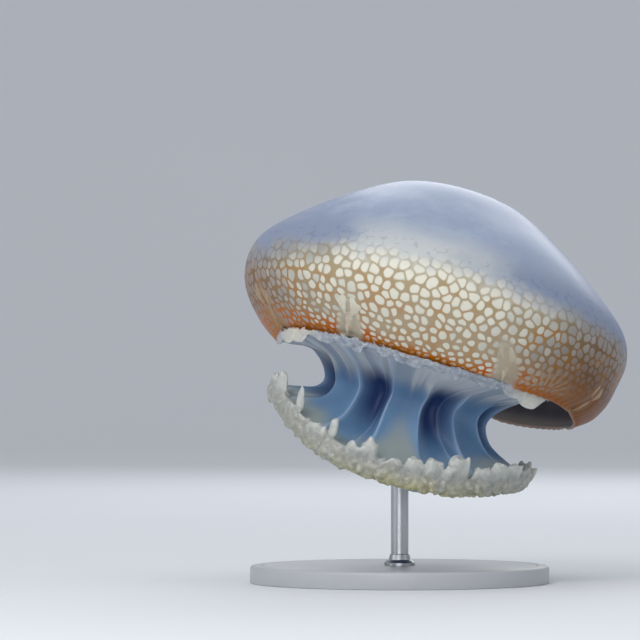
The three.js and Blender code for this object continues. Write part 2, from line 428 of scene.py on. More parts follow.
def bellPoint(ring, angle):
    radius, height = bellRows[ring]
    rise, outward = bellRise[ring], bellOutwards[ring]
    share, side, k = octantShare(round(angle, 5))
    side = abs(side * radius - organShift(k, max(rise, 0)) * smooth(rise, -6, 0))
    inner = smooth(-rise, 0, 3)

    niche = bell["niche"]
    width = niche["width"] * (niche["foot"] - niche["taper"] * smooth(abs(rise), 0, niche["top"]))
    nearOrgan = 1 - smooth(side, *(width * part for part in niche["sides"]))
    nearOrgan *= 1 - smooth(rise, niche["fade"], niche["top"])
    beside, above = bell["flush"]
    flush = hump(side, *beside) * hump(rise, *above)

    lappet = abs(math.sin(math.pi * bell["lappets"] * share))
    nearEdge = 1 - smooth(abs(rise), 0, bell["lappetTop"])
    furrow = bell["furrowDepth"] * (1 - lappet) ** 3 * (1 - smooth(abs(rise), 3, bell["furrowTop"]))
    sunk = bell["depth"] + furrow * (1 - nearOrgan)
    sunk += niche["depth"] * nearOrgan * (rise > 0)
    depth, length, *heights = bell["wave"]
    around = Vector((radius * math.cos(angle), radius * math.sin(angle), height))
    sunk -= depth * noise.noise(around / length) * smooth(height, *heights)
    if rise < 0:
        count, depth = bell["folds"]
        folds = depth * math.sin(math.pi * count * share) ** 2 * smooth(-rise, 6, 14) * smooth(radius, 20, 60)
        sunk = folds * smooth(-rise, 2, 8) - 0.1 * nearEdge
    raised = bell["lappetDepth"] * (1 - lappet**0.7) * nearEdge + niche["notch"] * hump(side, 0, 3) * nearEdge
    raised -= frontFall(angle, rise)
    place = onBell(angle, radius - sunk * outward.x, height - sunk * outward.y + raised)
    pleat = fanAt(angle, radius, rise) * (1 - inner)
    return place, (rise, inner, nearOrgan * (1 - inner), flush, paintedLightAt(angle), pleat)


# The net of spots round the bell.
net = {
    "around": 110,  # spots in a row
    "rowShape": 0.87,  # rows' distance in spot widths
    "stretch": (0.9, 1.1),  # spots grow taller up the bell
    "stretchRise": (6, 36),
    "jitter": 0.56,  # how far a spot's middle strays, in spot widths
    "sizes": (0.88, 0.24),  # a spot's distances are multiplied by the first and up to the second more
    "minimumRadius": 45,  # of the bell, where spots would get too narrow
}


def unwrapNet(mesh):
    # Across, the map counts spots round the bell. Up, it counts their rows from the free edge.
    angle = mesh.verts.layers.float["angle"]
    ring = mesh.verts.layers.float["ring"]
    rows = [0.0] * len(bellRows)
    for i in range(edgeRing - 1, -1, -1):
        width = turn * max(bellRows[i].x, net["minimumRadius"]) / net["around"]
        stretch = mix(*net["stretch"], smooth(bellRise[i], *net["stretchRise"]))
        rows[i] = rows[i + 1] + (bellRise[i] - bellRise[i + 1]) / (width * stretch * net["rowShape"])
    uv = mesh.loops.layers.uv.new("netMap")
    for face in mesh.faces:
        across = [loop.vert[angle] * net["around"] / turn for loop in face.loops]
        wrapped = max(across) - min(across) > net["around"] / 2
        for loop, place in zip(face.loops, across):
            if wrapped and place < 0:
                place += net["around"]
            loop[uv].uv = (place + net["around"], rows[round(loop.vert[ring])])


def netCells(tree):
    # For each point: how far the nearest spot's middle is, how much further the next one's is, and a
    # number of the nearest spot's own from 0 to 1.
    around, jitter = net["around"], net["jitter"]
    size, spread = net["sizes"]
    uv = tree.node("ShaderNodeUVMap", {"uv_map": "netMap"}, {})
    wobble = tree.node("ShaderNodeTexNoise", {}, {"Vector": tree.place(), "Scale": 170, "Detail": 0}, "Color")
    uv = tree.vector("ADD", uv, tree.vector("MULTIPLY_ADD", wobble, (0.5, 0.5, 0), (-0.25, -0.25, 0)))
    u, v = tree.part(uv, 0), tree.part(uv, 1)
    low = 0.5 - 0.5 * jitter
    nearest, second, tone = 9.0, 9.0, 0.0
    for up in (-1, 0, 1):
        row = v.floor() + up
        shift = row % 2 * 0.5
        column = (u - shift).floor()
        here = tree.join(u - shift - low, v - low)
        for side in (-1, 0, 1):
            cell = tree.join(column + side, row)
            seed = tree.vector("MODULO", tree.vector("ADD", cell, (around, 8, 0)), (around, 512, 1))
            flat = {"noise_dimensions": "2D"}
            chance = tree.node("ShaderNodeTexWhiteNoise", flat, {"Vector": seed}, "Color")
            middle = tree.vector("MULTIPLY_ADD", chance, (jitter, jitter, 0), cell)
            away = tree.vector("MULTIPLY", tree.vector("SUBTRACT", middle, here), (1, net["rowShape"], 0))
            own = tree.part(chance, 2)
            reach = tree.vector("LENGTH", away, output=1) * (own * spread + size)
            nearer = reach < nearest
            tone = tone + nearer * (own - tone)
            second = reach.most(nearest).least(second)
            nearest = reach.least(nearest)
    return nearest, second - nearest, tone


bellPaint = {
    "crown": tint(130, 147, 176),
    "crownDeep": tint(115, 132, 164),
    "crownPale": tint(156, 168, 190),
    "milk": tint(190, 194, 194),
    "milkShaded": tint(130, 142, 165),
    "spot": tint(206, 203, 188),
    "spotHighlight": tint(224, 221, 206),
    "spotShaded": tint(150, 148, 143),
    "spotLowShaded": tint(134, 106, 84),
    "line": tint(156, 138, 102),
    "lineFaint": tint(160, 150, 126),
    "lineShaded": tint(112, 106, 106),
    "ground": tint(154, 134, 108),
    "groundShaded": tint(106, 72, 32),
    "groundLit": tint(178, 162, 136),
    "groundWarm": tint(172, 112, 32),
    "edge": tint(172, 98, 4),
    "edgeRed": tint(180, 84, 2),
    "niche": tint(168, 155, 133),
    "nicheShaded": tint(160, 112, 56),
    "plain": tint(158, 104, 56),
    "pleat": tint(182, 164, 136),
    "under": tint(128, 122, 126),
    "underPale": tint(142, 134, 134),
    "litLip": tint(214, 198, 186),
    "shaded": tint(84, 54, 26),
    "speck": tint(86, 92, 112),
}


def bellFinish():
    tree = Tree("bellJelly")
    paint = bellPaint
    rise, inner, nearOrgan, paintedLight = (tree.mark(name) for name in ("rise", "inner", "organ", "paintedLight"))
    # side is the flanks, away from the front, where the marks below paint shade
    side = 1 - paintedLight
    cloud = tree.noise(22, 4, 0.55)
    patches = tree.noise(75, 3, 0.6)
    grain = tree.noise(900, 2)
    nearest, apart, tone = netCells(tree)
    # thin lines high up, wide ground between small spots lower down
    low = (rise + patches * 14).rise(50, 14)
    narrow = low * (0.2 - side * 0.08) + side * 0.03
    spot = (apart - narrow - 0.08).rise(-0.07, 0.14) * (nearest + narrow * 0.5).rise(0.54, 0.42)
    high = rise + cloud * 22 + tone * 5 + side * 3
    faded, strong = high.rise(68, 54), high.rise(66, 50)

    crown = tree.blend(cloud.rise(0.35, 0.7), paint["crown"], paint["crownDeep"])
    along = tree.part(tree.place(), 0)
    crown = tree.blend((patches * 0.6 + cloud * 0.5).rise(0.5, 0.72) * 0.7, crown, paint["crownPale"])
    # paler toward the middle and right of the crown: painted light
    crown = tree.blend((along + cloud * 0.04).rise(-0.03, 0.035) * 0.5, crown, paint["crownPale"])
    paintedShadeUpperLeft = (along + cloud * 0.01).rise(-0.012, -0.036) * rise.rise(30, 50)  # painted shade, high up on the left
    paintedLightAndShade = paintedLight - paintedShadeUpperLeft * 0.45
    # the milky band is whitest under the painted light and a darker blue in the painted shade
    milk = tree.blend((paintedLightAndShade + cloud * 0.8 - 0.4).rise(0.6, 1.08), paint["milkShaded"], paint["milk"])
    skin = tree.blend((rise + cloud * 30).rise(100, 68), crown, milk)
    # spots are pale under the painted light and darker in the painted shade
    lit = (paintedLightAndShade + tone * 0.4 + patches * 0.4 - 0.4).rise(0.15, 0.95)
    spots = tree.blend(lit, paint["spotShaded"], paint["spot"])
    # darker, warmer spots low on the flanks: partly their own warmer tone, partly painted shade
    spots = tree.blend(side.rise(0.5, 0.9) * rise.rise(48, 18) * 0.7, spots, paint["spotLowShaded"])
    # paler spot centres where the painted light falls: painted highlight
    spotCoreHighlight = (apart - narrow).rise(0.16, 0.4) * paintedLightAndShade.rise(0.3, 0.9) * rise.rise(14, 46) * 0.75
    spots = tree.blend(spotCoreHighlight, spots, paint["spotHighlight"])
    skin = tree.blend(faded, skin, spots)

    ground = tree.blend((rise + patches * 16).rise(44, 28), paint["line"], paint["ground"])
    # ground darker and browner on the flanks (partly its own warmer tone, partly painted shade), paler and
    # less warm at the front (painted light)
    ground = tree.blend(side.rise(0.35, 0.9) * 0.8, ground, paint["groundShaded"])
    ground = tree.blend(paintedLight.rise(0.45, 0.95) * 0.45, ground, paint["groundLit"])
    ground = tree.blend(patches.rise(0.48, 0.64) * (0.75 - paintedLight * 0.45), ground, paint["groundWarm"])
    # the faint lines high up turn greyer and darker on the flanks and upper left: painted shade
    faint = tree.blend((side.rise(0.4, 0.8) + paintedShadeUpperLeft * 0.7).least(1), paint["lineFaint"], paint["lineShaded"])
    ground = tree.blend((high + paintedShadeUpperLeft * 20).rise(46, 66) * 0.85, ground, faint)
    ground = tree.blend((rise + patches * 12 - side * 9).rise(16, 7), ground, paint["edge"])
    ground = tree.blend(tree.mark("flush") * paintedLight.rise(0.1, 0.5), ground, paint["edgeRed"])
    ticks = (1 - spot) * high.rise(80, 70) * tree.noise(260, 1).rise(0.5, 0.6)
    skin = tree.blend(ticks * 0.22, skin, paint["speck"])
    skin = tree.blend((1 - spot) * strong * (1 - nearOrgan), skin, ground)
    # niches on the flanks darker: painted shade
    niche = tree.blend(side.rise(0.5, 0.9), paint["niche"], paint["nicheShaded"])
    skin = tree.blend(nearOrgan * 0.85, skin, niche)
    skin = tree.blend(along.rise(0.04, 0.075) * rise.rise(24, 9) * 0.5, skin, paint["plain"])
    skin = tree.blend(tree.mark("pleat") * 0.75, skin, paint["pleat"])
    skin = tree.blend(rise.rise(5, 1) * (1 - nearOrgan) * 0.8, skin, paint["edge"])
    shaded = along.rise(0.04, 0.09) * rise.rise(54, 10)
    skin = tree.blend(shaded * 0.66, skin, paint["shaded"])
    dots = tree.node("ShaderNodeTexVoronoi", {}, {"Vector": tree.place(), "Scale": 330})
    specks = dots.rise(0.16, 0.08) * cloud.rise(0.5, 0.6) * rise.rise(60, 75)
    skin = tree.blend(specks * 0.5, skin, paint["speck"])
    under = tree.blend(patches.rise(0.45, 0.8), paint["under"], paint["underPale"])
    # a pale band on the inner lip: painted light, standing in for light coming in through the opening
    under = tree.blend(rise.rise(-12, -3) * 0.9, under, paint["litLip"])
    skin = tree.blend(inner, skin, under)
    look = {
        "Subsurface Weight": 0.15,
        "Subsurface Radius": (1.0, 0.75, 0.6),
        "Subsurface Scale": 1 * millimetre,
        "Specular IOR Level": 0.12,
        "Coat Weight": rise.rise(50, 85) * 0.36 + 0.06,
        "Coat Roughness": 0.25,
        "Sheen Weight": 0.07,
        "Sheen Roughness": 0.35,
        "Sheen Tint": (0.62, 0.6, 1, 1),
    }
    return tree.finish(skin, grain * 0.12 + 0.38, grain, 0.05, look)


def makeBell():
    def place(ring, angle):
        where, marks = bellPoint(ring, angle)
        return where, (ring, angle, *marks)

    mesh = ringSkin(len(bellRows) - 1, bell["steps"], ["ring", "angle"] + bell["marks"], place)
    closeSkin(mesh)
    unwrapNet(mesh)
    nodes = ["bell_crown"] + numbered("bell_margin", bell["octants"])
    addPiece("bellSkin", mesh, bellFinish(), nodes)


makeBell()


arms = {
    "count": 8,
    "scapulets": 16,
    "neck": [(0, 44.5), (14, 44.5), (28.6, 44.5), (29.5, 38), (31.5, 30), (33.8, 22), (34.4, 18.6)],
    "above": [(34.4, 18.6), (42, 16.2), (50, 13), (57, 10.6), (60.8, 9.6)],
    "rim": [(60.8, 9.6), (61.4, 9.2), (61.4, 8.4), (60.6, 7.9)],
    # under the ruff, down the column and out to the hem
    "flank": [(60.6, 7.9), (55, 5.6), (49, 2.6), (44, -1), (40.2, -5), (38.2, -9.2), (39, -13),
              (42.5, -16.8), (49.5, -20), (58, -22.5)],
    "end": [(58, -22.5), (59.6, -24), (59.6, -27.5), (57, -29.3)],
    "inside": [(57, -29.3), (47, -29.5), (36, -27.5), (28, -22), (20, -18.6), (9, -18.9), (0, -19)],
    "rings": {"neck": 10, "above": 14, "rim": 5, "flank": 66, "end": 6, "inside": 27},
    "steps": 720,
    "columnFrom": 3,  # the place in flank where the column starts
    "grooveDepth": 9.2,
    "faceHollow": 2.1,
    "crest": 0.6,  # height of the thin fold along each ridge
    "crestWidth": 0.065,
    "innerFold": (-0.76, 0.045, 0.7),  # a lower fold in each groove: its place, width and share of the height
    "sway": math.radians(1.8),
    "fleshClimb": (0.15, 1),  # how far up the faces the hem's pale flesh reaches, elsewhere and in front
    "ruffSpan": (46, 61),  # radius of the ruff's root and of its rim
    "ruffLean": (2.5, 6.8, 5),  # how much the rim rises at the right, drops at the left, and how locally
    "ruffReach": [(7.6, math.radians(-62), 3), (2.4, math.radians(-158), 4)],  # spreads under the bell
    "ruffLobe": 1.3,
    "marks": ["deep", "pale", "flesh", "fold", "streak"],
}


def armRows():
    rows = []
    for part, rings in arms["rings"].items():
        points = arms[part]
        for i in range(rings):
            place = (len(points) - 1) * i / rings
            rows.append((part, place, curvePoint(points, place)))
    return rows + [("inside", len(arms["inside"]) - 1, Vector(arms["inside"][-1]))]


def ruffRim(angle):
    # How much further out and up the ruff's rim is than its outline says.
    right, left, sharpness = arms["ruffLean"]
    across = math.cos(angle)
    lift = (right if across > 0 else left) * across * abs(across) ** sharpness
    reach = sum(most * lobeAt(angle, middle, sharp) for most, middle, sharp in arms["ruffReach"])
    lobes = abs(math.sin(arms["scapulets"] / 2 * angle)) ** 0.6 - 1
    return reach + arms["ruffLobe"] * lobes, lift


def armAcross(angle):
    # 0 in the middle of the nearest arm's face, half at its ridges and 1 in the groove beside it, and
    # less than 0 on its left.
    arm = (angle - front) * arms["count"] / turn
    return 2 * (arm - round(arm))


def foldsAt(signed, around):
    # The thin fold along each ridge, uneven in height, and the lower one in each groove.
    uneven = 0.7 + 0.6 * noise.noise(around / 14 + Vector((0, 0, 9)))
    place, width, share = arms["innerFold"]
    inner = hump(signed + 0.1 * noise.noise(around / 20), place, width)
    return hump(abs(signed), 0.5, arms["crestWidth"]) * uneven + share * inner


def streaksAt(angle, around):
    # Streaks that run down from the ruff, wide ones and thin ones between them.
    x, y = math.cos(angle), math.sin(angle)
    wide = noise.noise(Vector((9 * x, 9 * y, 0.3)) + around / 60)
    return wide + 0.5 * noise.noise(Vector((31 * x, 31 * y, 4)) + around / 40)


def armPoint(part, where, outline, angle):
    radius, height = outline
    signed = armAcross(angle)
    across = abs(signed)
    face = max(0, 1 - (2 * across) ** 2)
    groove = math.sin(turn / 4 * max(0, 2 * across - 1)) ** 0.8
    around = Vector((radius * math.cos(angle), radius * math.sin(angle), height))
    stir = noise.noise(around / 9)
    crest, streak = foldsAt(signed, around), streaksAt(angle, around)
    deep, pale, flesh = 0.3, 0, 0
    spread = smooth(radius, *arms["ruffSpan"])
    out, lift = ruffRim(angle)
    if part in ("neck", "above", "rim"):
        radius += out * spread
        height += (lift + 0.5 * stir) * spread
        pale = spread
        if part == "neck" and height > 40:  # its top follows the pitch of the bell's roof
            y, roof = pose["armAxis"][1] + radius * math.sin(angle), bell["roof"][-1][1]
            height += (roof - y * math.sin(pose["pitch"])) / math.cos(pose["pitch"]) - roof
    elif part == "flank":
        columnFrom = arms["columnFrom"]
        down = (where - columnFrom) / (len(arms["flank"]) - 1 - columnFrom)
        ruffled = spread * (1 - smooth(down, -0.2, 0.2))
        share = max(0, down)
        start = smooth(down, -0.34, 0.18)
        fade = 1 - smooth(share, 0.5, 1)
        hollow = (arms["grooveDepth"] * groove + arms["faceHollow"] * face) * start * fade
        fold = arms["crest"] * crest * (1 - 0.4 * smooth(share, 0.7, 1)) * smooth(down, -0.5, -0.2)
        outwards = smooth(down, -0.3, 0.1)
        radius += out * ruffled - hollow + fold * outwards
        height += (lift + 0.5 * stir) * ruffled - fold * (1 - outwards)
        height += 0.8 * crest * smooth(share, 0.6, 0.9)
        height += (0.8 * (face + groove) - 1.4 * streak) * ruffled * smooth(where, 0, 1)
        angle += arms["sway"] * math.sin(3 * angle + 5 * share) * smooth(share, 0, 0.4)
        angle += (spreadFromFront(angle, share) - angle) * smooth(down, -0.4, 0)
        height += hemDrop(angle) * smooth(share, 0.3, 1) + 0.7 * stir * smooth(share, 0.4, 1)
        # navy in the grooves and a little on the faces: partly the flesh's own blue, partly painted shade in
        # the hollows
        deep = (groove**0.7 + 0.25 * face) * (1 - smooth(share, 0.42, 0.9)) * smooth(down, -0.22, 0.2)
        sooner = 0.12 * math.cos(angle)  # the ruff's paleness reaches less far down at the right
        pale = 1 - smooth(down, -0.15 - sooner, 0.34 - sooner)
        climb = face**0.6 * mix(*arms["fleshClimb"], lobeAt(angle, front, 8))
        flesh = smooth(share + 0.08 * stir, 0.64 - 0.32 * climb, 1.02 - 0.27 * climb)
    else:
        angle = spreadFromFront(angle, 1)
        fade = smooth(radius, 20, 44)
        height += hemDrop(angle) * fade
        height += fade * (1.1 * math.cos(2 * arms["count"] * angle) + 1.2 * stir)
        flesh = smooth(radius, 24, 50)
        # the underside takes half the grooves' navy: partly the flesh's blue, partly painted shade
        deep = 0.5 * (1 - flesh)
        crest = 0
    return onArms(angle, radius, height), (deep, pale, flesh, crest, streak)


armPaint = {
    "body": tint(98, 134, 168),
    # navy of the grooves: partly the flesh's blue, partly painted shade
    "deep": tint(34, 56, 102),
    "collar": tint(148, 156, 166),
    "collarPale": tint(182, 187, 191),
    "flesh": tint(146, 156, 154),
    "violet": tint(84, 98, 138),
    # pale of the ridges' thin folds: painted highlight
    "fold": tint(166, 186, 212),
}


def armFinish():
    tree = Tree("armJelly")
    paint = armPaint
    deep, pale, flesh, fold, streak = (tree.mark(name) for name in arms["marks"])
    cloud = tree.noise(38, 3, 0.55)
    grain = tree.noise(700, 2)
    skin = tree.blend(cloud.rise(0.4, 0.75) * 0.5, paint["body"], paint["violet"])
    skin = tree.blend((flesh * (0.6 + cloud * 0.6)).rise(0.1, 0.9), skin, paint["flesh"])
    collar = tree.blend((pale + streak - 0.6).rise(0, 0.8), paint["collar"], paint["collarPale"])
    skin = tree.blend((pale + streak * 0.4 - 0.1).rise(0, 1), skin, collar)
    # navy in the grooves: partly the flesh's blue, partly painted shade in the hollows
    skin = tree.blend((deep * 1.15).least(1), skin, paint["deep"])
    # pale line along each ridge's fold: painted highlight
    skin = tree.blend(fold.rise(0.2, 1) * (1 - deep * 0.75) * 0.5, skin, paint["fold"])
    look = {
        "Subsurface Weight": 0.35,
        "Subsurface Radius": (0.5, 0.75, 1),
        "Subsurface Scale": 2.5 * millimetre,
        "Specular IOR Level": 0.3,
        "Coat Weight": 0.1,
        "Coat Roughness": 0.3,
        "Sheen Weight": 0.15,
        "Sheen Roughness": 0.4,
        "Sheen Tint": (0.7, 0.8, 1, 1),
    }
    return tree.finish(skin, grain * 0.1 + 0.48, grain + cloud * 2, 0.12, look)


def makeArms():
    rows = armRows()

    def place(ring, angle):
        return armPoint(*rows[ring], angle)

    mesh = ringSkin(len(rows) - 1, arms["steps"], arms["marks"], place)
    closeSkin(mesh)
    nodes = ["manubrium"] + numbered("scapulet", arms["scapulets"]) + numbered("oral_arm", arms["count"])
    addPiece("armSkin", mesh, armFinish(), nodes)


makeArms()


def dropCrumbs(mesh):
    # Deletes every loose bit of a mesh but its largest body.
    bodies = []
    seen = set()
    for start in mesh.verts:
        if start in seen:
            continue
        seen.add(start)
        body = [start]
        for point in body:  # grows as its neighbours are found
            fresh = [edge.other_vert(point) for edge in point.link_edges]
            fresh = [other for other in fresh if other not in seen]
            seen.update(fresh)
            body += fresh
        bodies.append(body)
    largest = max(bodies, key=len)
    crumbs = [point for body in bodies if body is not largest for point in body]
    bmesh.ops.delete(mesh, geom=crumbs, context="VERTS")


def melt(mesh, voxel, smoothing):
    # Melts overlapping shapes into one closed skin.
    lumps = addObject("lumps", mesh)
    remesh = lumps.modifiers.new("melt", "REMESH")
    remesh.mode = "VOXEL"
    remesh.voxel_size = voxel * millimetre
    mesh = bmesh.new()
    mesh.from_mesh(lumps.evaluated_get(bpy.context.evaluated_depsgraph_get()).to_mesh())
    bpy.data.objects.remove(lumps)
    dropCrumbs(mesh)
    allWays = {"use_axis_x": True, "use_axis_y": True, "use_axis_z": True}
    for _ in range(smoothing):
        bmesh.ops.smooth_vert(mesh, verts=mesh.verts, factor=0.5, **allWays)
    return mesh


blobData = bpy.data.meshes.new("blob")


def addBlob(mesh, place, angle, size, lean, taper, dents, seed, blunt=1.0):
    # A rounded lump standing at a place: size is its width along the rim, its thickness and its height.
    # taper is its top's width against its foot's, lean tips it outwards, dents roughen it, seed picks
    # the dents, and a blunt less than 1 squares it.
    ball = bmesh.new()
    bmesh.ops.create_icosphere(ball, subdivisions=2 if size[0] < 3 else 3, radius=1)
    width, thick, tall = size
    turned = Matrix.Rotation(pose["roll"], 3, "Y") @ Euler((0, 0, angle + turn / 4)).to_matrix()
    for point in ball.verts:
        up = 0.5 + 0.5 * math.copysign(abs(point.co.z) ** blunt, point.co.z)
        dent = 1 + dents * noise.noise(point.co * 1.5 + Vector((seed * 7.3, 0, 0)))
        narrow = mix(1, taper, up) * dent
        x, y, z = point.co.x * width / 2 * narrow, point.co.y * thick / 2 * narrow, up * tall * dent
        point.co = place + turned @ (Vector((x, y - math.sin(lean) * z, math.cos(lean) * z)) * millimetre)
    ball.to_mesh(blobData)
    ball.free()
    mesh.from_mesh(blobData)


def bandRing(thick, tall, steps, place):
    # A ring of round section. place(angle, outward, height) puts its points.
    far = 9  # from the axis to the section's middle while it is spun
    mesh = bmesh.new()
    circle = bmesh.ops.create_circle(mesh, segments=12, radius=1)["verts"]
    bmesh.ops.rotate(mesh, verts=circle, matrix=Matrix.Rotation(turn / 4, 3, "X"))
    bmesh.ops.translate(mesh, verts=circle, vec=(far, 0, 0))
    whole = mesh.verts[:] + mesh.edges[:]
    bmesh.ops.spin(mesh, geom=whole, axis=(0, 0, 1), angle=turn, steps=steps, use_merge=True)
    for point in mesh.verts:
        angle = math.atan2(point.co.y, point.co.x)
        outward = math.hypot(point.co.x, point.co.y) - far
        wave = noise.noise(Vector((math.cos(angle) * far, math.sin(angle) * far, 0)))
        point.co = place(angle, thick * outward + wave, tall * point.co.z * (1 + 0.4 * wave))
    return mesh


frillPaint = {
    "hem": {
        "flesh": tint(150, 151, 145), "tip": tint(182, 185, 182), "low": tint(140, 141, 126),
        "glow": tint(160, 155, 112), "shade": tint(120, 127, 127), "paintedGlint": tint(218, 220, 216),
    },
    "ruff": {
        "flesh": tint(122, 132, 144), "tip": tint(136, 145, 156), "low": tint(120, 131, 145),
        "glow": tint(204, 200, 186), "shade": tint(104, 117, 134), "paintedGlint": tint(230, 233, 236),
    },
}


def frillFinish(name):
    tree = Tree(name + "Jelly")
    paint = frillPaint[name]
    height = tree.mark("height")
    cloud = tree.noise(110, 3, 0.6)
    grain = tree.noise(1000, 3, 0.6)
    glow = tree.mark("glow").least(1)
    low = tree.blend(glow, paint["low"], paint["glow"])
    skin = tree.blend((height + cloud * 8).rise(8, -2), paint["flesh"], low)
    skin = tree.blend(cloud.rise(0.5, 0.75) * 0.5, skin, paint["shade"])
    skin = tree.blend((height + cloud * 3).rise(4, 9) * 0.8, skin, paint["tip"])
    if name == "ruff":
        skin = tree.blend(glow * 0.9, skin, paint["glow"])
    # pale mottling over the curds and fine white flecks: painted highlights and glints
    skin = tree.blend(tree.noise(480, 3).rise(0.42, 0.7) * 0.2, skin, paint["paintedGlint"])
    skin = tree.blend(grain.rise(0.62, 0.72) * 0.5, skin, paint["paintedGlint"])
    look = {
        "Subsurface Weight": 1,
        "Subsurface Radius": (1, 0.95, 0.8),
        "Subsurface Scale": 5 * millimetre,
        "Coat Weight": 0.5,
        "Coat Roughness": 0.12,
    }
    return tree.finish(skin, grain * 0.15 + 0.35, grain + tree.noise(320, 2) * 1.5, 0.3, look)


def addFrill(name, kind, mesh, settings, level, nodes=()):
    # Marks each point with its height above level(angle) and with its glow, and adds the piece.
    height, glow = (mesh.verts.layers.float.new(mark) for mark in ("height", "glow"))
    for point in mesh.verts:
        angle, v = aroundArms(point.co)
        point[height] = v - level(angle)
        point[glow] = sum(lobeAt(angle, *patch) for patch in settings["glow"])
    bmesh.ops.recalc_face_normals(mesh, faces=mesh.faces)
    addPiece(name, mesh, frillFinish(kind), nodes)


hem = {
    "radius": 59.4,
    "middle": -25.2,
    "band": (2.8, 4.6),  # half its thickness and height
    "voxel": 0.62,
    "smoothing": 3,
    "steps": 240,
    "tongues": 92,
    "tongueFoot": -2.5,
    "tongueWidth": (4, 9),
    "tongueThickness": (2.8, 4.6),
    "tongueHeight": (5, 12),
    "tongueLean": (-0.05, 0.4),
    "tongueTaper": (0.6, 1),
    "buds": 4,  # small lumps along a tongue's top
    "knobs": 900,
    "knobSize": (1.3, 3.6),
    # where the knobs sit round the band, in half turns from its top outwards: most of them, what share
    # that is, and the rest
    "knobPlaces": ((0.4, 1.2), 0.75, (-0.3, 0.5)),
    "grain": (420, 0.14),  # its fineness and depth
    "glow": [(math.radians(-80), 5), (math.radians(60), 4)],  # where its lower side is creamiest
    # angle, foot, height, width, thickness, taper and lean of the few that stand out
    "tall": [
        (-162, -2, 10, 8, 6, 0.6, 0.1), (-150, -2, 16, 12, 5.5, 0.6, 0.15),
        (-133, 5, 14, 7.5, 4.5, 0.1, 0.25), (-122, -2, 10, 12, 5, 0.8, 0.15),
        (-115, 5, 9, 4.5, 3, 0.9, 0), (-99.5, -2, 14, 6.5, 4, 1.5, 0.05),
        (-83, -2, 12, 9, 5, 1, 0), (-76, -2, 13.5, 9, 5, 1.1, 0),
        (-67.5, -2, 15.5, 6, 4, 1.5, 0.1), (-64, -2, 14, 4, 4, 1.4, 0.1),
        (-56, -2, 11, 11, 5, 0.9, 0.2), (-48, -2, 12.5, 12, 5, 0.9, 0.2),
        (-39, -2, 12.5, 13, 5, 0.8, 0.25), (-15, -2, 9, 9, 7, 0.6, 0.5),
        (176, -2, 10, 8, 8, 0.6, 0.3), (150, 0, 13, 8, 6, 0.4, 0),
        (30, -2, 12, 9, 4.5, 0.7, 0.2), (75, -2, 14, 9, 4.5, 0.8, 0.1),
        (104, -2, 11, 10, 5, 0.8, 0.1),
    ],
    "bluntFrom": (0.7, 0.5),  # those with a wider top than this are squared, and how much
}


def hemPlace(straight, outward, height):
    angle = spreadFromFront(straight, 1)
    return onArms(angle, hem["radius"] + outward, hem["middle"] + height + hemDrop(angle))


def addTongue(mesh, rng, angle, foot, size, lean, taper):
    width, thick, tall = size
    place = hemPlace(angle, rng.uniform(-1, 1), foot)
    addBlob(mesh, place, angle, size, lean, taper, 0.25, rng.random() * 50)
    for _ in range(hem["buds"]):
        bud = rng.uniform(0.25, 0.5) * width
        beside = rng.uniform(-0.4, 0.4) * width / hem["radius"]
        up = tall * rng.uniform(0.45, 0.95) - bud * 0.7
        outward = math.sin(lean) * up + rng.uniform(-0.4, 0.4) * thick
        budSize = (bud, bud * 0.8, bud * rng.uniform(0.9, 1.5))
        place = hemPlace(angle + beside, outward, foot + up)
        addBlob(mesh, place, angle, budSize, lean, 0.8, 0.4, rng.random() * 50)


def makeHem():
    rng = random.Random(5)
    thick, tall = hem["band"]
    mesh = bandRing(thick, tall, hem["steps"], hemPlace)
    topWidth, squared = hem["bluntFrom"]
    for degrees, foot, height, width, depth, taper, lean in hem["tall"]:
        angle, size = math.radians(degrees), (width, depth, height)
        blunt = squared if taper > topWidth else 1
        addBlob(mesh, hemPlace(angle, 0, foot), angle, size, lean, taper, 0.3, width + height, blunt)
    for k in range(hem["tongues"]):
        angle = turn * (k + rng.uniform(-0.4, 0.4)) / hem["tongues"]
        height = mix(*hem["tongueHeight"], rng.random() ** 2)
        size = (rng.uniform(*hem["tongueWidth"]), rng.uniform(*hem["tongueThickness"]), height)
        lean, taper = rng.uniform(*hem["tongueLean"]), rng.uniform(*hem["tongueTaper"])
        addTongue(mesh, rng, angle, hem["tongueFoot"], size, lean, taper)
    most, share, rest = hem["knobPlaces"]
    for k in range(hem["knobs"]):
        around = rng.uniform(*(most if rng.random() < share else rest)) * turn / 2
        angle = rng.uniform(0, turn)
        size = rng.uniform(*hem["knobSize"]) * rng.uniform(0.7, 1)
        place = hemPlace(angle, math.sin(around) * thick, math.cos(around) * tall - size / 2)
        addBlob(mesh, place, angle, (size, size * 0.9, size), 0, 0.9, 0.4, k)
    mesh = melt(mesh, hem["voxel"], hem["smoothing"])
    fineness, depth = hem["grain"]
    noise.seed_set(5)  # noise_vector takes its offsets from the clock otherwise
    for point in mesh.verts:
        point.co += Vector(noise.noise_vector(point.co * fineness)) * depth * millimetre
    nodes = numbered("arm_frill", arms["count"])
    addFrill("hemFrill", "hem", mesh, hem, lambda angle: hem["middle"] + hemDrop(angle), nodes)


makeHem()

